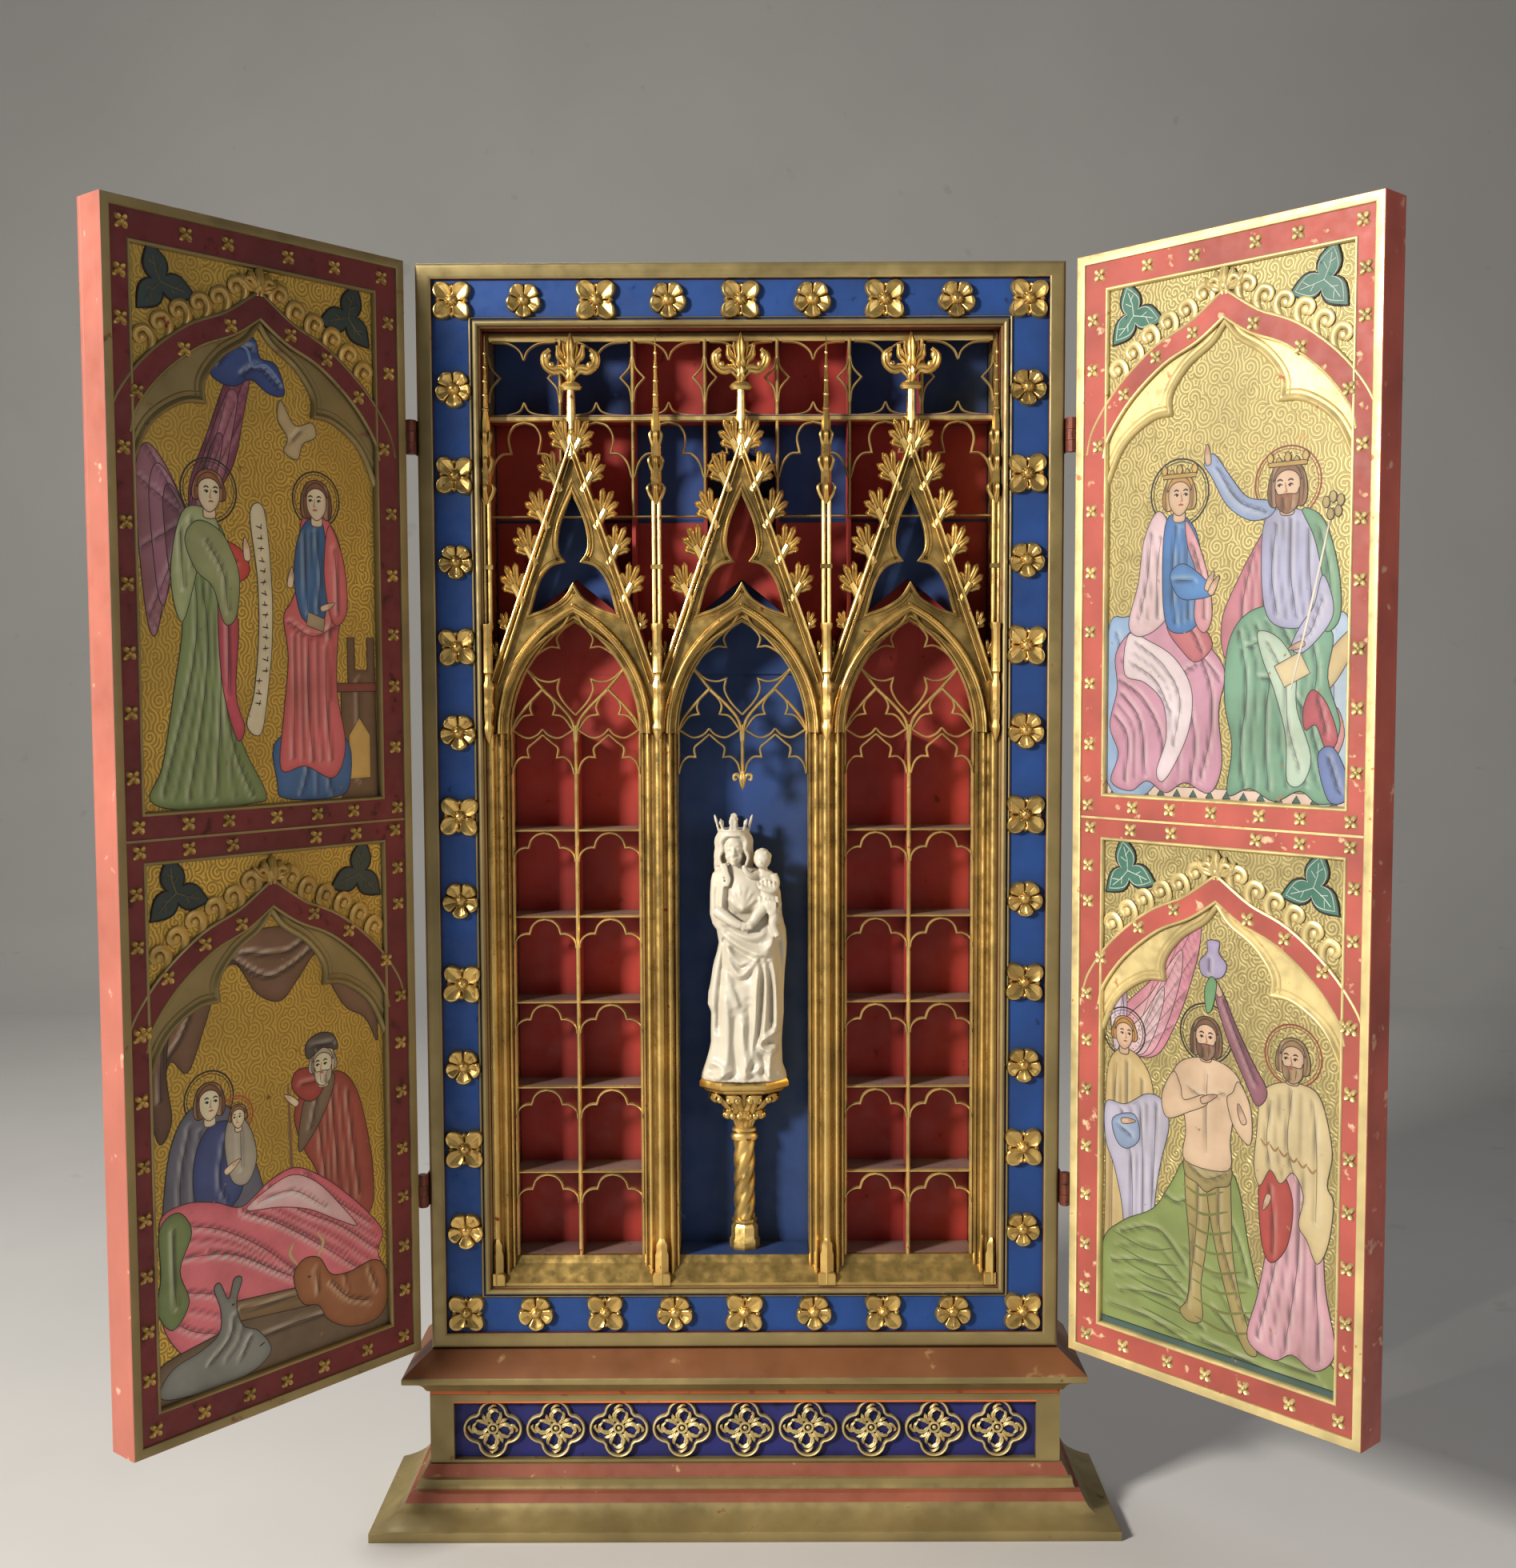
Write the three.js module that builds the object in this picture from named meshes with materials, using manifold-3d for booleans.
// A neo-Gothic winged altarpiece: a shallow carved cabinet on a moulded base, with two hinged painted wings.
// Millimetres, +Z up, the front faces -Y. The origin is on the underside, in the plane of the cabinet's front.

import * as THREE from 'three';
import { mergeVertices } from 'three/addons/utils/BufferGeometryUtils.js';
import Module from 'manifold-3d';

const wasm = await Module();
wasm.setup();

// ---------------------------------------------------------------- driving dimensions

const GAP = 0.3; // clearance between neighbouring pieces
const BLEND = 0.2; // how far fused pieces reach into each other

const CASE_W = 610;
const CASE_H = 1040;
const CASE_D = 108;
const HALF_W = CASE_W / 2;
const BOARD = 14; // thickness of the case's boards

const BASE_H = 167;
const FRIEZE_TOP = 122;
const FRIEZE_BOTTOM = 54;
const FRIEZE_HALF = 307;
const FRIEZE_FRONT = -2;
const FRIEZE_RECESS = 7;
const FOIL_COUNT = 9;
const FOIL_PITCH = 61.7;
const FOIL_Z = 86;
const FOIL_OFFSET = 14.5;
const FRIEZE_T = 16;

const FRAME_W = 60; // width of the front frame's members
const FRAME_T = 22; // and their thickness
const BAND_IN = 15; // the blue band runs from here ...
const BAND_OUT = 53; // ... to here, measured in from the frame's outer edge
const BAND_DEPTH = 5;
const ROSETTE_IN = 34.5;
const ROSETTE_PITCH_X = 67.75;
const ROSETTE_PITCH_Z = 80.75;

const BAY_PITCH = 161;
const BAY_HALF = 63.5; // half the clear width of a bay
const PIER_HALF = 17;
const NICHE_HALF = 243;
const SCREEN_Y = 24; // front plane of mullions, tracery and shelves
const SCREEN_T = 5;
const NICHE_BACK = 64;
const NICHE_FLOOR = 84.6;
const NICHE_TOP = 980;
const MULLION = 3.5;
const SHELF_PITCH = 84.2;
const SHELF_COUNT = 5;
const SHELF_T = 3;

const SPRING = 599; // springing line of the arches
const ARCH_R = 127;
const GABLE_FOOT = 650;
const GABLE_TOP = 880;
const GALLERY_HALF = 240.2;
const GALLERY_PITCH = 69;
const GALLERY_FOOT = 798;
const GALLERY_RAIL = 897;

const PIN_X = HALF_W + 5; // hinge pins, beside and just before the case
const PIN_Y = -3;
const HINGE_Z = [158, 878];
const KNUCKLE_R = 4.5;
const WING_IN = 5; // the wing's hinged edge, measured from the pin
const WING_OUT = 308.5; // and its free edge
const WING_FOOT = 2;
const WING_T = 29;
const WING_BACK_T = 5.5; // raised border on the wing's outer face
const LEFT_OPEN = 129.2; // degrees from closed
const RIGHT_OPEN = 132.3;

// ---------------------------------------------------------------- materials

const paint = (color, roughness, metalness = 0) =>
  new THREE.MeshStandardMaterial({ color, roughness, metalness });

const finishes = {
  gilt: () => paint(0xc8a550, 0.38, 0.8),
  dullGilt: () => paint(0x91825a, 0.5, 0.6),
  bluePaint: () => paint(0x2350a5, 0.6),
  redPaint: () => paint(0xa84037, 0.6),
  mauvePaint: () => paint(0x69504b, 0.65),
  wood: () => paint(0x6b4a30, 0.7),
  ivory: () => paint(0xe1dccd, 0.35),
  brownMetal: () => paint(0x7a3b2c, 0.5, 0.4),
};

// ---------------------------------------------------------------- solids and outlines

const toSolid = (geometry) => {
  const bare = geometry.clone();
  bare.deleteAttribute('normal');
  bare.deleteAttribute('uv');
  const merged = mergeVertices(bare, 1e-4);
  const vertProperties = new Float32Array(merged.attributes.position.array);
  const triVerts = new Uint32Array(merged.index.array);
  return new wasm.Manifold(new wasm.Mesh({ numProp: 3, vertProperties, triVerts }));
};

const toGeometry = (solid) => {
  const mesh = solid.getMesh();
  const geometry = new THREE.BufferGeometry();
  geometry.setAttribute('position', new THREE.BufferAttribute(mesh.vertProperties, 3));
  geometry.setIndex(new THREE.BufferAttribute(mesh.triVerts, 1));
  geometry.computeVertexNormals();
  return geometry;
};

const join = (geometries) =>
  toGeometry(geometries.map(toSolid).reduce((sum, solid) => sum.add(solid)));

const cut = (geometry, tools) =>
  toGeometry(tools.map(toSolid).reduce((rest, tool) => rest.subtract(tool), toSolid(geometry)));

const overlapOf = (a, b) => toGeometry(toSolid(a).intersect(toSolid(b)));

/** A box between two opposite corners. */
const box = (x0, x1, y0, y1, z0, z1) =>
  new THREE.BoxGeometry(x1 - x0, y1 - y0, z1 - z0)
    .translate((x0 + x1) / 2, (y0 + y1) / 2, (z0 + z1) / 2);

const extruded = (outline, depth) => {
  const shape = new THREE.Shape(outline.map(([x, z]) => new THREE.Vector2(x, z)));
  return new THREE.ExtrudeGeometry(shape, { depth, bevelEnabled: false });
};

/** An outline in x and z, extruded from y0 back to y1 and pierced by its holes. */
const plate = (outline, y0, y1, holes = []) => {
  const sheet = extruded(outline, y1 - y0).rotateX(Math.PI / 2).translate(0, y1, 0);
  return holes.length ? cut(sheet, holes.map((hole) => plate(hole, y0 - 1, y1 + 1))) : sheet;
};

/** A section in x and y, extruded upwards from z0 to z1. */
const post = (section, z0, z1) => extruded(section, z1 - z0).translate(0, 0, z0);

/** A section in y and z, extruded sideways from x0 to x1. */
const rail = (section, x0, x1) =>
  extruded(section, x1 - x0).rotateX(Math.PI / 2).rotateZ(Math.PI / 2).translate(x0, 0, 0);

const radians = THREE.MathUtils.degToRad;

/** Points on a circular arc, both ends included. */
const arc = (cx, cz, r, from, to, steps) =>
  Array.from({ length: steps + 1 }, (_, i) => {
    const a = radians(from + ((to - from) * i) / steps);
    return [cx + r * Math.cos(a), cz + r * Math.sin(a)];
  });

/** Adds the mirror image of a right-hand half outline that runs from the top down. */
const mirrored = (half) => {
  const onAxis = ([x]) => Math.abs(x) < 1e-6;
  const left = half.filter((point) => !onAxis(point)).map(([x, z]) => [-x, z]);
  return [...half, ...left.reverse()];
};

const shifted = (outline, dx, dz = 0) => outline.map(([x, z]) => [x + dx, z + dz]);

/** A range of x on one side of the middle, lower value first. */
const span = (side, a, b) => (side > 0 ? [a, b] : [-b, -a]);

const flipped = (outline, sign) => outline.map(([x, z]) => [x * sign, z]);

/** Moves every vertex of a geometry by a function of its place. */
const warped = (geometry, move) => {
  const places = geometry.attributes.position;
  const place = new THREE.Vector3();
  for (let i = 0; i < places.count; i += 1) {
    place.fromBufferAttribute(places, i);
    move(place);
    places.setXYZ(i, place.x, place.y, place.z);
  }
  return geometry;
};

/** A body turned about the Z axis from a list of [radius, height]. */
const turned = (profile, segments) =>
  new THREE.LatheGeometry(profile.map(([r, z]) => new THREE.Vector2(r, z)), segments)
    .rotateX(Math.PI / 2);

const ellipsoid = (x, y, z, rx, ry, rz, across = 7, down = 5) =>
  new THREE.SphereGeometry(1, across, down)
    .rotateX(Math.PI / 2)
    .scale(rx, ry, rz)
    .translate(x, y, z);

const altarpiece = new THREE.Group();
const cabinet = new THREE.Group();
cabinet.position.z = BASE_H;
altarpiece.add(cabinet);

const place = (parent, name, geometry, finish) => {
  const mesh = new THREE.Mesh(geometry, finish());
  mesh.name = name;
  parent.add(mesh);
  return mesh;
};

// ---------------------------------------------------------------- base

// The mouldings' profiles as [overhang beyond the case, height], from the bottom up.
const PLINTH_PROFILE = [
  [52.6, 0], [52.6, 9], [50, 9.6], [43, 11.4], [34, 15], [26, 20],
  [20, 31.5], [17.5, 32.5], [13.4, 36], [12, 42], [9.5, 43], [4, 53.7],
];
const LEDGE_PROFILE = [
  [2, 122.3], [2, 126], [6, 129], [10, 134.5], [19, 139.5], [24.8, 141.5], [24.8, 147], [0, 166.7],
];

/** A block whose front and two ends follow one profile, with a flush back. */
const mouldedBlock = (profile) => {
  const low = profile[0][1];
  const high = profile.at(-1)[1];
  const section = [...profile.map(([q, z]) => [-q, z]), [CASE_D, high], [CASE_D, low]];
  const elevation = mirrored(profile.map(([q, z]) => [HALF_W + q, z]));
  return overlapOf(rail(section, -CASE_W, CASE_W), plate(elevation, -CASE_D, 2 * CASE_D));
};

const plinth = () => cut(mouldedBlock(PLINTH_PROFILE), [box(-280, 280, 22, 92, -1, 40)]);

const ledge = () => cut(mouldedBlock(LEDGE_PROFILE), [box(-286, 286, 18, 92, 110, 152)]);

/** The outline of four round lobes, each an arc that reaches the given angle to both sides. */
const fourfoil = (lobe, reach) =>
  [0, 90, 180, 270].flatMap((turn) => {
    const a = radians(turn);
    return arc(FOIL_OFFSET * Math.cos(a), FOIL_OFFSET * Math.sin(a), lobe, turn - reach, turn + reach, 3);
  });

const friezeFront = () => {
  const inner = FRIEZE_HALF - 23;
  const field = FRIEZE_FRONT + FRIEZE_RECESS;
  const panel = cut(
    box(-FRIEZE_HALF, FRIEZE_HALF, FRIEZE_FRONT, FRIEZE_T, FRIEZE_BOTTOM, FRIEZE_TOP),
    [box(-inner, inner, FRIEZE_FRONT - 1, field, FRIEZE_BOTTOM + 3, FRIEZE_TOP - 7)],
  );
  const rings = Array.from({ length: FOIL_COUNT }, (_, i) => {
    const x = (i - (FOIL_COUNT - 1) / 2) * FOIL_PITCH;
    const rim = shifted(fourfoil(14.5, 84), x, FOIL_Z);
    const eye = shifted(fourfoil(11, 110), x, FOIL_Z);
    return plate(rim, FRIEZE_FRONT + 2, field + BLEND, [eye]);
  });
  return join([panel, ...rings]);
};

const friezeEnd = (x) => box(x, x + BOARD, FRIEZE_T + GAP, CASE_D, FRIEZE_BOTTOM, FRIEZE_TOP);

const friezeBack = () => {
  const half = FRIEZE_HALF - BOARD - GAP;
  return box(-half, half, CASE_D - BOARD, CASE_D, FRIEZE_BOTTOM, FRIEZE_TOP);
};

place(altarpiece, 'plinth', plinth(), finishes.dullGilt);
place(altarpiece, 'ledge', ledge(), finishes.dullGilt);
place(altarpiece, 'frieze_front', friezeFront(), finishes.gilt);
place(altarpiece, 'frieze_left_end', friezeEnd(-FRIEZE_HALF), finishes.dullGilt);
place(altarpiece, 'frieze_right_end', friezeEnd(FRIEZE_HALF - BOARD), finishes.dullGilt);
place(altarpiece, 'frieze_back', friezeBack(), finishes.wood);

// ---------------------------------------------------------------- case boards

const BOARDS_FRONT = FRAME_T + GAP;
const BETWEEN_SIDES = HALF_W - BOARD - GAP;

const caseSide = (x) => box(x, x + BOARD, BOARDS_FRONT, CASE_D, 0, CASE_H);

const caseBoard = (z) => box(-BETWEEN_SIDES, BETWEEN_SIDES, BOARDS_FRONT, CASE_D, z, z + BOARD);

const caseBack = () =>
  box(-BETWEEN_SIDES, BETWEEN_SIDES, CASE_D - 10, CASE_D, BOARD + GAP, CASE_H - BOARD - GAP);

place(cabinet, 'case_left_side', caseSide(-HALF_W), finishes.redPaint);
place(cabinet, 'case_right_side', caseSide(HALF_W - BOARD), finishes.redPaint);
place(cabinet, 'case_bottom', caseBoard(0), finishes.wood);
place(cabinet, 'case_top', caseBoard(CASE_H - BOARD), finishes.redPaint);
place(cabinet, 'case_back', caseBack(), finishes.wood);

// ---------------------------------------------------------------- front frame with its rosettes

// Section of a member as [distance in from the outer edge, depth].
const FRAME_PROFILE = [
  [0, FRAME_T], [0, 4], [1.5, 1.2], [5, 0], [12, 0], [BAND_IN, 1.5], [BAND_IN, BAND_DEPTH],
  [BAND_OUT, BAND_DEPTH], [BAND_OUT, 2.5], [56, 1], [58.5, 3], [FRAME_W, 8], [FRAME_W, FRAME_T],
];

/** A carved flower with its petals' tips and notches in turn, rising to a boss at y = -2. */
const rosette = (petals, back) => {
  const round = petals === 5;
  const tip = round ? 17 : 21;
  const notch = round ? 13.5 : 11;
  const heights = [[0, -back], [1, -back], [0, 2]];
  const flower = new THREE.LatheGeometry(heights.map(([r, h]) => new THREE.Vector2(r, h)), petals * 2)
    .rotateX(Math.PI);
  return warped(flower, (point) => {
    const turn = Math.atan2(point.x, point.z);
    const step = Math.round((turn * petals) / Math.PI);
    const reach = Math.hypot(point.x, point.z) * (step % 2 ? notch : tip);
    const aim = turn + (round ? 0 : Math.PI / 4);
    point.set(reach * Math.sin(aim), point.y, reach * Math.cos(aim));
  });
};

/** A flower across a mitre: clear of the band, held by a peg into the rail that carries it. */
const cornerRosette = (side) => {
  const peg = side > 0 ? [4, 7] : [-7, -4];
  return join([rosette(4, BAND_DEPTH - GAP), box(-1.5, 1.5, 3, BAND_DEPTH + BLEND, ...peg)]);
};

const fieldRosette = (index) => rosette(index % 2 ? 5 : 4, BAND_DEPTH + BLEND);

const framePost = (side) => {
  const section = FRAME_PROFILE.map(([w, y]) => [side * (HALF_W - w), y]);
  const member = warped(post(section, 0, CASE_H), (point) => {
    const inset = HALF_W - Math.abs(point.x) + GAP / 2;
    point.z = point.z > CASE_H / 2 ? CASE_H - inset : inset;
  });
  const flowers = Array.from({ length: 11 }, (_, i) =>
    fieldRosette(i + 1).translate(side * (HALF_W - ROSETTE_IN), 0, CASE_H / 2 + (i - 5) * ROSETTE_PITCH_Z));
  return join([member, ...flowers]);
};

const frameRail = (side) => {
  const level = (w) => (side > 0 ? CASE_H - w : w);
  const section = FRAME_PROFILE.map(([w, y]) => [y, level(w)]);
  const member = warped(rail(section, -HALF_W, HALF_W), (point) => {
    const inset = Math.abs(point.z - level(0)) + GAP / 2;
    point.x = Math.sign(point.x) * (HALF_W - inset);
  });
  const flowers = Array.from({ length: 9 }, (_, i) => {
    const flower = i % 8 === 0 ? cornerRosette(side) : fieldRosette(i);
    return flower.translate((i - 4) * ROSETTE_PITCH_X, 0, level(ROSETTE_IN));
  });
  return join([member, ...flowers]);
};

place(cabinet, 'frame_left', framePost(-1), finishes.bluePaint);
place(cabinet, 'frame_right', framePost(1), finishes.bluePaint);
place(cabinet, 'frame_bottom', frameRail(-1), finishes.bluePaint);
place(cabinet, 'frame_top', frameRail(1), finishes.bluePaint);

// ---------------------------------------------------------------- niche shell

const INNER_BACK = NICHE_BACK - GAP;
const SHELF_FRONT = SCREEN_Y + SCREEN_T + GAP;
const SHELL_HALF = 244.6;

/** The sloping sill's upper side in y and z; grow gives the clearance of what is cut to stand on it. */
const sillTop = (grow) => [
  [6 - grow, FRAME_W + GAP], [6 - grow, 63 + grow], [20 - grow, 78 + grow], [21.5 - grow, 81 + grow],
  [24 - grow, NICHE_FLOOR + grow], [INNER_BACK + grow, NICHE_FLOOR + grow],
];

const sill = () => rail([...sillTop(0), [INNER_BACK, 70], [24, FRAME_W + GAP]], -SHELL_HALF, SHELL_HALF);

const nicheBack = () => box(-SHELL_HALF, SHELL_HALF, NICHE_BACK, NICHE_BACK + 4, FRAME_W + GAP, NICHE_TOP + 6);

place(cabinet, 'niche_back', nicheBack(), finishes.bluePaint);
place(cabinet, 'niche_sill', sill(), finishes.gilt);

// ---------------------------------------------------------------- piers, jambs and pinnacles

const FOOT_OUTLINE = mirrored([[0, 104], [4, 102], [9, 92], [9, 62], [0, 62]]);
const PINNACLE_PROFILE = [
  [0, 590], [4.6, 606], [3.4, 650], [4.6, 656], [4.6, 696], [5.5, 704], [5.5, 818], [9, 824], [4, 896], [0, 975],
];

/** A pinnacle on its corbel: thin before the gables' feet, then standing back between them. */
const pinnacle = (x) => {
  const spire = warped(turned(PINNACLE_PROFILE, 6), (point) => {
    point.x += x;
    point.y += point.z < 700 ? 3 : 8;
  });
  return join([spire, box(x - 3, x + 3, 2, 9, 592, SPRING - GAP)]);
};

/** Cuts a standing piece free of the sill that it rests on. */
const onSill = (geometry) =>
  cut(geometry, [rail([...sillTop(GAP), [INNER_BACK + GAP, 0], [6 - GAP, 0]], -CASE_W, CASE_W)]);

const pier = (x) => {
  const half = [[0, 8], [4, 8], [6, 12], [10, 13], [13, 18], [PIER_HALF, 19], [PIER_HALF, INNER_BACK]];
  const section = shifted([...half, ...flipped(half.slice(1), -1).reverse()], x);
  return onSill(join([
    post(section, 62, SPRING - GAP),
    box(x - PIER_HALF, x + PIER_HALF, SCREEN_Y, INNER_BACK, SPRING - 1, GABLE_FOOT),
    plate(shifted(FOOT_OUTLINE, x), 3, 20),
    pinnacle(x),
  ]));
};

/** The half pier against the frame, with the thin wall and half pinnacle above it. */
const jamb = (side) => {
  const inner = NICHE_HALF - PIER_HALF - 1.5;
  const section = [
    [inner, INNER_BACK], [inner, 19], [228, 18], [231, 13], [235, 12], [238, 8.3],
    [SHELL_HALF, 8.3], [SHELL_HALF, INNER_BACK],
  ];
  const whole = join([
    post(flipped(section, side), 62, SPRING - GAP),
    box(...span(side, inner, SHELL_HALF), SCREEN_Y, INNER_BACK, SPRING - 1, GABLE_FOOT),
    box(...span(side, GALLERY_HALF + GAP, SHELL_HALF), SCREEN_Y, INNER_BACK, GABLE_FOOT - 1, NICHE_TOP - GAP),
    pinnacle(side * (1.5 * BAY_PITCH)),
  ]);
  return onSill(cut(whole, [box(...span(side, SHELL_HALF, 2 * SHELL_HALF), -20, 100, 0, CASE_H)]));
};

place(cabinet, 'pier_left', pier(-BAY_PITCH / 2), finishes.gilt);
place(cabinet, 'pier_right', pier(BAY_PITCH / 2), finishes.gilt);
place(cabinet, 'jamb_left', jamb(-1), finishes.gilt);
place(cabinet, 'jamb_right', jamb(1), finishes.gilt);

// ---------------------------------------------------------------- shelves and lattices of the side bays

const LIGHT_IN = MULLION / 2;
const LIGHT_OUT = 62;
const LIGHT_MID = (LIGHT_IN + LIGHT_OUT) / 2;
const LIGHT_HALF = (LIGHT_OUT - LIGHT_IN) / 2;
const BAY_FIT = BAY_HALF - GAP;
const HEAD_FOOT = 560;
const NOTCH_END = 46.5;

const shelfTop = (index) => NICHE_FLOOR + index * SHELF_PITCH;

/** A shelf notched from the front, to slide over the upright partition. */
const shelf = (index, x) => {
  const notch = LIGHT_IN + GAP;
  const outline = [
    [-BAY_FIT, SHELF_FRONT], [-notch, SHELF_FRONT], [-notch, NOTCH_END], [notch, NOTCH_END],
    [notch, SHELF_FRONT], [BAY_FIT, SHELF_FRONT], [BAY_FIT, INNER_BACK], [-BAY_FIT, INNER_BACK],
  ];
  return post(shifted(outline, x), shelfTop(index) - SHELF_T, shelfTop(index));
};

/** The upright board between two lights, slotted from the back for each shelf. */
const partition = (x) => {
  const slots = Array.from({ length: SHELF_COUNT }, (_, i) => {
    const top = shelfTop(i + 1) + GAP;
    const foot = top - SHELF_T - 2 * GAP;
    return [[INNER_BACK, foot], [NOTCH_END - GAP, foot], [NOTCH_END - GAP, top], [INNER_BACK, top]];
  });
  const section = [
    [SHELF_FRONT, NICHE_FLOOR + GAP], [INNER_BACK, NICHE_FLOOR + GAP], ...slots.flat(),
    [INNER_BACK, 597], [SHELF_FRONT, 597],
  ];
  return rail(section, x - LIGHT_IN, x + LIGHT_IN);
};

/** A compartment's opening below a shelf: one round lobe between two quarter lobes. */
const cuspedOpening = (floor, shelfLevel) => {
  const lobe = arc(0, shelfLevel - 19.5, 15, 90, 8, 2);
  const quarter = arc(17.1, shelfLevel - 30, LIGHT_HALF - 17.1, 100, 0, 2);
  return mirrored([...lobe, ...quarter, [LIGHT_HALF, floor]]);
};

/** The pierced front of a side bay: mullion, shelf edges and the cusped arches below them. */
const lattice = (x) => {
  const openings = Array.from({ length: SHELF_COUNT }, (_, i) => {
    const opening = cuspedOpening(shelfTop(i) + (i ? 0 : 1.5), shelfTop(i + 1));
    return [shifted(opening, x - LIGHT_MID), shifted(opening, x + LIGHT_MID)];
  });
  const top = shelfTop(SHELF_COUNT);
  const comb = [
    [BAY_FIT, NICHE_FLOOR + GAP], [BAY_FIT, HEAD_FOOT - GAP], [LIGHT_OUT, HEAD_FOOT - GAP],
    [LIGHT_OUT, top], [LIGHT_IN, top], [LIGHT_IN, HEAD_FOOT - GAP],
  ];
  const outline = shifted([...comb, ...flipped(comb, -1).reverse()], x);
  return plate(outline, SCREEN_Y, SCREEN_Y + SCREEN_T, openings.flat());
};

for (const [side, sign] of [['left', -1], ['right', 1]]) {
  for (let i = 1; i <= SHELF_COUNT; i += 1) {
    place(cabinet, `shelf_${side}_${i}`, shelf(i, sign * BAY_PITCH), finishes.mauvePaint);
  }
  place(cabinet, `partition_${side}`, partition(sign * BAY_PITCH), finishes.redPaint);
  place(cabinet, `lattice_${side}`, lattice(sign * BAY_PITCH), finishes.gilt);
}

// ---------------------------------------------------------------- traceried heads of the bays

const QUATREFOIL = mirrored([
  [0, 706], [11, 699], [16.5, 690], [15.5, 683], [25, 681], [36, 674], [44, 661],
  [35, 651], [25, 648], [16, 650], [16.5, 640], [11, 629], [0, 617.5],
]);
const LOW_TREFOIL = mirrored([
  [0, 639], [8.5, 632], [11.5, 624], [10.5, 616.5], [20, 614], [29, 601.5], [16, 595.5], [0, 603],
]);
const DAGGER = [[57, 616], [48, 650], [38.5, 642]];
const LIGHT_HEAD = [[0, 595.5], [9, 589], [14, 583], [13.5, 575.5], [22, 575], [28, 567], [LIGHT_HALF, HEAD_FOOT]];
const PENDANT = [[LIGHT_IN, 566], [7, 567], [8.5, 560], [3.5, 557], [2.5, 549], [0, 544]];

/** One side of a pointed arch from its springing to its apex. */
const archSide = (reach, steps) => {
  const apex = THREE.MathUtils.radToDeg(Math.acos((ARCH_R - BAY_HALF) / reach));
  return arc(BAY_HALF - ARCH_R, SPRING, reach, 0, apex, steps);
};

const tracery = (x, hanging) => {
  const crown = archSide(ARCH_R + 2, 4).map(([px, pz]) => [Math.min(px, BAY_FIT), pz]);
  const head = [...LIGHT_HEAD].reverse();
  const lightHead = [...head, ...flipped(LIGHT_HEAD.slice(1), -1)];
  const middle = hanging ? PENDANT : [[LIGHT_IN, HEAD_FOOT]];
  const half = [
    ...[...crown].reverse(), [BAY_FIT, HEAD_FOOT], ...shifted(lightHead, LIGHT_MID).slice(0, -1), ...middle,
  ];
  const holes = [
    QUATREFOIL, shifted(LOW_TREFOIL, LIGHT_MID), shifted(LOW_TREFOIL, -LIGHT_MID), DAGGER, flipped(DAGGER, -1),
  ];
  return plate(shifted(mirrored(half), x), SCREEN_Y, SCREEN_Y + SCREEN_T, holes.map((hole) => shifted(hole, x)));
};

// ---------------------------------------------------------------- gables over the bays

const GABLE_HALF = BAY_PITCH / 2 - GAP / 2;
const RAKE = GABLE_HALF / (GABLE_TOP - GABLE_FOOT);
const RAKE_BAND = 10;
const GABLE_FRONT = 8;
const GABLE_MIDDLE = 14;
const CROCKET_LEVELS = [872, 841, 806, 772, 736];
const GABLE_EYE = mirrored([
  [0, 826], [10, 803], [14, 785], [13, 772], [6.5, 762], [22, 757], [33, 741], [41, 713], [24, 719], [9, 729], [0, 743],
]);
const CROCKET = [[-4, -11], [6, -8], [14, 2], [11, 11], [-2, 9]];
const FINIAL = mirrored([
  [0, 977.5], [6, 965], [16, 966], [24, 953], [12, 945], [7, 935], [12, 930], [5, 921], [5, 862],
]);

const rakeX = (z) => (GABLE_TOP - z) * RAKE;

/** An arch with its ogee hood under a steep crocketed gable with a cusped eye. */
const gable = (x) => {
  const intrados = archSide(ARCH_R, 5);
  const body = mirrored([
    [0, GABLE_TOP], [GABLE_HALF, GABLE_FOOT], [GABLE_HALF, SPRING + GAP], [BAY_HALF, SPRING + GAP],
    ...intrados.slice(1),
  ]);
  const band = mirrored([
    [0, GABLE_TOP], [GABLE_HALF, GABLE_FOOT], [GABLE_HALF - RAKE_BAND, GABLE_FOOT],
    [0, GABLE_TOP - RAKE_BAND / RAKE],
  ]);
  const roll = mirrored([...archSide(ARCH_R + 12, 5).reverse(), ...archSide(ARCH_R + 4, 5)]);
  const crockets = CROCKET_LEVELS.flatMap((z) =>
    [1, -1].map((side) => plate(shifted(flipped(shifted(CROCKET, rakeX(z)), side), x, z), 10, 19)));
  return join([
    plate(shifted(body, x), GABLE_MIDDLE, SCREEN_Y - GAP, [shifted(GABLE_EYE, x)]),
    plate(shifted(band, x), GABLE_FRONT, GABLE_MIDDLE + 1),
    plate(shifted(roll, x), GABLE_FRONT, GABLE_MIDDLE + 1),
    ...crockets,
    plate(shifted(FINIAL, x), GABLE_FRONT, 18),
  ]);
};

for (const [index, side] of ['left', 'centre', 'right'].entries()) {
  const x = (index - 1) * BAY_PITCH;
  place(cabinet, `tracery_${side}`, tracery(x, side === 'centre'), finishes.gilt);
  place(cabinet, `gable_${side}`, gable(x), finishes.gilt);
}

// ---------------------------------------------------------------- gallery behind the gables

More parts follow.
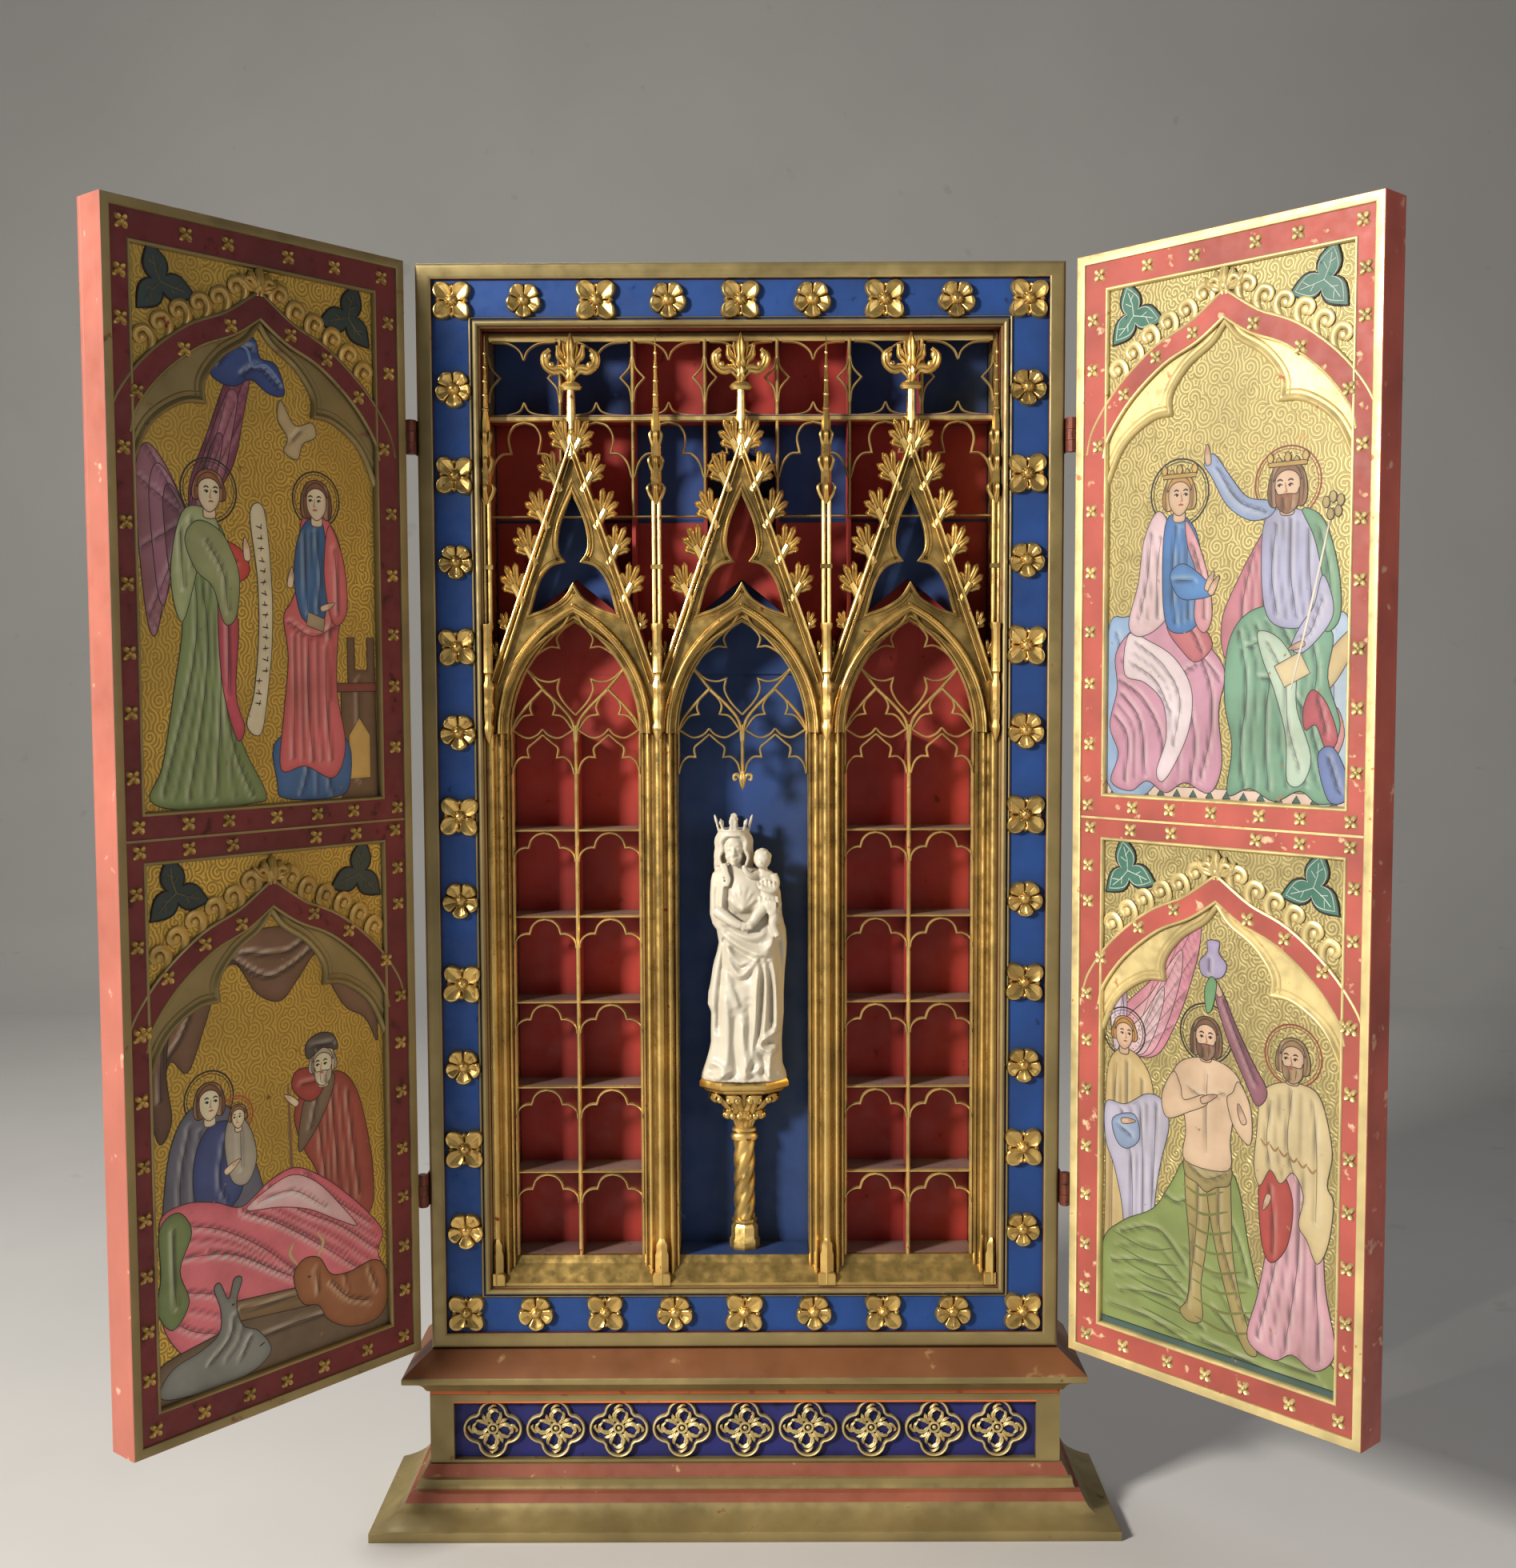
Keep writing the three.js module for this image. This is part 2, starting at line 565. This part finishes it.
const UPPER_LIGHT = mirrored([
  [0, 955], [9, 967], [32.75, 967], [32.75, 946], [23, 937], [32.75, 928], [32.75, 904], [0, 904],
]);
const LOWER_LIGHT = mirrored([[0, 894], [12, 887], [13, 866], [27, 860], [32.75, 848], [32.75, 803]]);
const COLUMNS = [-3, -2, -1, 0, 1, 2, 3];

/** The triangle under a gable's rakes, drawn in by a distance measured sideways. */
const underRakes = (inset) =>
  mirrored([[0, GABLE_TOP - inset / RAKE], [GABLE_HALF - inset, GABLE_FOOT], [0, GABLE_FOOT]]);

const bayPrisms = (inset) =>
  [-1, 0, 1].map((bay) => plate(shifted(underRakes(inset), bay * BAY_PITCH), 0, CASE_D));

const galleryScreen = () => {
  const [y0, y1] = [SCREEN_Y + GAP, SCREEN_Y + SCREEN_T];
  const top = NICHE_TOP - GAP;
  const openings = COLUMNS.flatMap((column) =>
    [UPPER_LIGHT, LOWER_LIGHT].map((light) => shifted(light, column * GALLERY_PITCH)));
  const sheet = plate(mirrored([[0, top], [GALLERY_HALF, top], [GALLERY_HALF, GALLERY_FOOT], [0, GALLERY_FOOT]]),
    y0, y1, openings);
  const stiles = [-1, 1].map((side) => box(...span(side, 236, GALLERY_HALF), y0, y1, GALLERY_FOOT, top));
  return cut(join([sheet, ...stiles]), bayPrisms(5));
};

/** Partitions, shelf, sloping linings and ceiling that make a box behind each opening of the gallery. */
const galleryBoxes = () => {
  const [y0, y1] = [SHELF_FRONT, INNER_BACK];
  const uprights = [0.5, 1.5, 2.5].flatMap((column) => [-1, 1].map((side) => {
    const x = side * column * GALLERY_PITCH;
    return box(x - LIGHT_IN, x + LIGHT_IN, y0, y1, GABLE_FOOT, NICHE_TOP + 1);
  }));
  const shelfBoard = box(-GALLERY_HALF, GALLERY_HALF, y0, y1, GALLERY_RAIL, GALLERY_RAIL + 4);
  const ceiling = box(-NICHE_HALF, NICHE_HALF, y0, y1, NICHE_TOP, NICHE_TOP + 6);
  const linings = cut(box(-GALLERY_HALF, GALLERY_HALF, y0, y1, GABLE_FOOT + GAP, GABLE_TOP - 8),
    [...bayPrisms(6), valleys()]);
  return cut(join([shelfBoard, ceiling, linings, ...uprights]), bayPrisms(6));
};

/** Everything above the gables' rakes, up to the gallery's shelf. */
const valleys = () => {
  const rakes = [-1, 0, 1].flatMap((bay) => {
    const x = bay * BAY_PITCH;
    return [[x - GABLE_HALF, GABLE_FOOT], [x, GABLE_TOP - 1], [x + GABLE_HALF, GABLE_FOOT]];
  });
  return plate([[-CASE_W, GABLE_FOOT], ...rakes, [CASE_W, GABLE_FOOT], [CASE_W, CASE_H], [-CASE_W, CASE_H]],
    0, CASE_D);
};

place(cabinet, 'gallery_screen', galleryScreen(), finishes.gilt);
place(cabinet, 'gallery_boxes', galleryBoxes(), finishes.redPaint);

// ---------------------------------------------------------------- bracket and statue

const BRACKET_Y = 48;
const SHAFT_PROFILE = [
  [0, 113], [12, 114], [9.8, 121], [9.8, 136], [9.8, 152], [9.8, 168], [9.8, 184], [10.5, 194], [14, 198],
  [12, 207], [0, 207],
];
const STATUE_FOOT = 252;
const STATUE_Y = 41.5;

/** Octagonal foot, twisted shaft with its ring, leafy capital and half-hexagonal abacus. */
const bracket = () => {
  const foot = turned([[0, NICHE_FLOOR + GAP], [15, NICHE_FLOOR + GAP], [14, 108], [11.5, 114], [0, 114]], 8);
  const shaft = warped(turned(SHAFT_PROFILE, 9), (point) => {
    const turn = Math.atan2(point.y, point.x);
    const twisted = point.z > 120 && point.z < 190;
    const swell = twisted ? 1 + 0.16 * Math.cos(3 * turn - (point.z - 113) / 9) : 1;
    point.x *= swell;
    point.y *= swell;
  });
  const capital = warped(turned([[0, 206], [12, 206], [20, 214], [33, 233], [30, 240], [0, 240]], 12),
    (point) => {
      const leaf = Math.round((Math.atan2(point.y, point.x) * 6) / Math.PI) % 2 ? 1 : 0.84;
      point.x *= leaf;
      point.y *= leaf * 0.46;
    });
  const abacus = warped(turned([[0, 239], [38, 239], [42, 243], [42, 247], [40, STATUE_FOOT - GAP], [0, STATUE_FOOT - GAP]], 6),
    (point) => {
      point.y *= 0.52;
    });
  return join([
    foot.translate(0, BRACKET_Y, 0),
    shaft.translate(0, BRACKET_Y, 0),
    capital.translate(0, BRACKET_Y - 2, 0),
    abacus.translate(0, STATUE_Y, 0),
  ]);
};

// The standing figure's robe as [half width, height above its foot].
const ROBE = [
  [0, 0], [42, 0], [38, 22], [38, 78], [33, 128], [35, 168], [33, 192], [20, 211], [9, 217], [0, 226],
];

/** The robed mother holding the child on her arm, crowned and veiled. */
const statue = () => {
  const robe = warped(turned(ROBE, 20), (point) => {
    const turn = Math.atan2(point.y, point.x);
    const lower = Math.max(0, 1 - point.z / 150);
    const fold = 1 + (0.03 + 0.05 * lower) * Math.cos(10 * turn);
    const sway = 4 * Math.sin((point.z / 226) * Math.PI * 1.4);
    point.x = point.x * fold * 0.96 + sway * 0.6 - 1;
    point.y = point.y * fold * (point.z > 195 ? 0.62 : 0.5);
  });
  const crown = warped(turned([[0, 250], [14, 250], [18, 267], [0, 258]], 8), (point) => {
    const spike = Math.round((Math.atan2(point.y, point.x) * 4) / Math.PI) % 2;
    point.z -= point.z > 265 && spike ? 6 : 0;
    point.x -= 9;
    point.y -= 2;
  });
  const parts = [
    robe,
    ellipsoid(-10, -1, 236, 15, 14.5, 20),
    ellipsoid(-10, 4, 222, 19, 13, 26),
    ellipsoid(20, -8, 226, 9.5, 9.5, 10.5),
    ellipsoid(25, -6, 196, 12, 11, 25),
    ellipsoid(24, -12, 170, 15, 8, 12),
    ellipsoid(33, -12, 155, 6, 6, 12),
    ellipsoid(-10, -15, 163, 16, 5, 7),
    crown,
  ];
  return join(parts).translate(0, STATUE_Y, STATUE_FOOT);
};

place(cabinet, 'bracket', bracket(), finishes.gilt);
place(cabinet, 'statue', statue(), finishes.ivory);

// ---------------------------------------------------------------- wings

const WING_TOP = CASE_H;
const FIELD_Y = -7; // plane of the painted pictures
const GROUND_Y = -5; // gilt ground of the spandrels
const BORDER_Y = -2; // red border and arch bands
const WING_BORDER_IN = 38;
const WING_BORDER_OUT = 283;
const WING_MID = (WING_BORDER_IN + WING_BORDER_OUT) / 2;
const HALF_FIELD = (WING_BORDER_OUT - WING_BORDER_IN) / 2;
const HALVES = [
  { foot: 36, spring: 345, top: 500 },
  { foot: 541, spring: 855, top: 1006 },
];
// Middle of the red arch band, as [distance from the arch's centre line, height above the springing].
const BAND_RISE = [[134.5, 0], [128, 22], [103, 54], [66, 83], [30, 99], [0, 119]];
// Edge of the picture under its cusped moulding, in the same way.
const CUSPED_EDGE = [[0, 99], [12, 85], [36, 68], [52, 46], [53, 29], [76, 25], [106, 4], [119, -24]];
const LEAF_PLACES = [[75, -27], [248, -24]];
const CURL_COUNT = 5;

/** Reads a half outline about the middle of the wing as a whole outline. */
const aboutMiddle = (half) => shifted(mirrored(half), WING_MID);

/** Offsets a line sideways by a distance, to the left of its direction. */
const beside = (line, distance) =>
  line.map(([x, z], i) => {
    const [ax, az] = line[Math.max(i - 1, 0)];
    const [bx, bz] = line[Math.min(i + 1, line.length - 1)];
    const length = Math.hypot(bx - ax, bz - az);
    return [x - ((bz - az) / length) * distance, z + ((bx - ax) / length) * distance];
  });

/** One side of the red arch's edge, from its springing to the middle, as distances from the middle. */
const bandEdge = (spring, distance) =>
  beside(BAND_RISE.map(([x, z]) => [x, z + spring]), distance)
    .map(([x, z], i, edge) => (i === edge.length - 1 ? [0, z + distance * 0.35] : [x, z]));

const rectangle = (x0, x1, z0, z1) => [[x0, z0], [x1, z0], [x1, z1], [x0, z1]];

/** A three-lobed leaf outline with narrow points. */
const leafOutline = () =>
  [150, 30, 270].flatMap((turn) => {
    const point = (r, a) => [r * Math.cos(radians(turn + a)), r * Math.sin(radians(turn + a))];
    return [point(21, 27), point(31, 0), point(21, -27), point(8, -60)];
  });

/** A gilt curl on an arch's back: stem and knob. */
const CURL = [[-5, -4], [5, -4], [10, 6], [1, 12]];

const curlsAlong = (spring, y0, y1, side) => {
  const edge = new THREE.CatmullRomCurve3(
    bandEdge(spring, 13).map(([x, z]) => new THREE.Vector3(x, 0, z)));
  return Array.from({ length: CURL_COUNT }, (_, i) => {
    const { x, z } = edge.getPointAt(0.14 + (0.74 * i) / (CURL_COUNT - 1));
    return [1, -1].map((half) => plate(flipped(shifted(flipped(CURL, half), WING_MID + half * x, z), side), y0, y1));
  }).flat();
};

const wingFinial = (top) =>
  aboutMiddle([[0, top + 10], [14, top + 6], [20, top - 8], [6, top - 13], [4, top - 26]]);

/** The gilt ground above an arch: from its back up to the top border. */
const spandrel = ({ spring, top }) => {
  const back = bandEdge(spring, 11).filter(([x]) => x < HALF_FIELD).reverse();
  const foot = [HALF_FIELD, back.at(-1)[1] - 9];
  const left = [...back.slice(1), foot].map(([x, z]) => [-x, z]).reverse();
  return shifted([...left, ...back, foot, [HALF_FIELD, top + 2], [-HALF_FIELD, top + 2]], WING_MID);
};

/** One wing in its closed place beside its pin: side is 1 for the left wing and -1 for the right. */
const wing = (side) => {
  const sheet = (outline, y0, y1, holes = []) =>
    plate(flipped(outline, side), y0, y1, holes.map((hole) => flipped(hole, side)));
  const whole = rectangle(WING_IN, WING_OUT, WING_FOOT, WING_TOP);
  const pictures = HALVES.map(({ foot, spring }) =>
    aboutMiddle([...CUSPED_EDGE.map(([x, z]) => [x, z + spring]), [HALF_FIELD - 2, foot]]));
  const underArch = HALVES.map(({ foot, spring }) =>
    aboutMiddle([...bandEdge(spring, -11).reverse(), [HALF_FIELD, foot]]));
  const fillet = rectangle(WING_IN + 9, WING_OUT - 9, WING_FOOT + 11, WING_TOP - 9);
  const outerFace = -WING_T - WING_BACK_T;
  const outerField = rectangle(WING_IN + 26, WING_OUT - 26, WING_FOOT + 30, WING_TOP - 26);
  const { spring: outerSpring } = HALVES[1];
  const outerBand = aboutMiddle([...bandEdge(outerSpring, 11).reverse(), ...bandEdge(outerSpring, -7)]);
  const parts = [
    sheet(whole, -WING_T, FIELD_Y),
    sheet(whole, FIELD_Y - 1, GROUND_Y, pictures),
    sheet(whole, GROUND_Y - 1, BORDER_Y, [...underArch, ...HALVES.map(spandrel)]),
    sheet(whole, BORDER_Y - 1, 0, [fillet]),
    sheet(whole, outerFace, 1 - WING_T, [outerField]),
    sheet(outerBand, outerFace, 1 - WING_T),
    ...curlsAlong(outerSpring, outerFace - 4.5, 1 - WING_T, side),
  ];
  for (const half of HALVES) {
    const leaves = LEAF_PLACES.map(([u, drop]) => shifted(leafOutline(), u, half.top + drop));
    parts.push(...leaves.map((leaf) => sheet(leaf, GROUND_Y - 1, GROUND_Y + 1.4)));
    parts.push(sheet(wingFinial(half.top), GROUND_Y - 1, -0.6));
    parts.push(...curlsAlong(half.spring, GROUND_Y - 1, -0.6, side));
  }
  return join(parts);
};

// ---------------------------------------------------------------- hinges

const HINGE_HALF = 16;
const LEAF_NEAR = 3.4; // faces of a hinge's leaf, measured sideways from its pin
const LEAF_FAR = 4.7;
const LEAF_WIDTH = 25;
const PIN_R = 2;
const BORE_R = 2.3;

const knuckle = (r, z0, z1) =>
  new THREE.CylinderGeometry(r, r, z1 - z0, 8).rotateX(Math.PI / 2).translate(0, 0, (z0 + z1) / 2);

/** The half on the case: two knuckles, the pin through both, and a leaf on the case's side. */
const caseHinge = (side) => {
  const [x0, x1] = span(side, LEAF_NEAR, LEAF_FAR);
  const ends = [[-HINGE_HALF, -5.4], [5.4, HINGE_HALF]];
  return join([
    knuckle(PIN_R, -HINGE_HALF + 1, HINGE_HALF - 1),
    ...ends.map(([z0, z1]) => knuckle(KNUCKLE_R, z0, z1)),
    ...ends.map(([z0, z1]) => box(x0, x1, 0, KNUCKLE_R + 1, z0, z1)),
    box(x0, x1, KNUCKLE_R + 0.4, LEAF_WIDTH, -HINGE_HALF, HINGE_HALF),
  ]);
};

/** The half on the wing: the middle knuckle, bored for the pin, and a leaf on the wing's edge. */
const wingHinge = (side) => {
  const [x0, x1] = span(side, LEAF_NEAR, LEAF_FAR);
  const leaf = join([
    knuckle(KNUCKLE_R, -5, 5),
    box(x0, x1, -KNUCKLE_R - 1, 0, -5, 5),
    box(x0, x1, -LEAF_WIDTH, -KNUCKLE_R - 0.4, -HINGE_HALF, HINGE_HALF),
  ]);
  return cut(leaf, [knuckle(BORE_R, -6, 6)]);
};

for (const [name, side, open] of [['left', 1, -LEFT_OPEN], ['right', -1, RIGHT_OPEN]]) {
  const pin = new THREE.Group();
  pin.position.set(-side * PIN_X, PIN_Y, BASE_H);
  altarpiece.add(pin);
  const swing = new THREE.Group();
  swing.rotation.z = radians(open);
  pin.add(swing);
  place(swing, `${name}_wing`, wing(side), finishes.redPaint);
  for (const [level, z] of [['lower', HINGE_Z[0]], ['upper', HINGE_Z[1]]]) {
    place(pin, `${name}_${level}_hinge_case`, caseHinge(side), finishes.brownMetal).position.z = z;
    place(swing, `${name}_${level}_hinge_wing`, wingHinge(side), finishes.brownMetal).position.z = z;
  }
}

export default altarpiece;
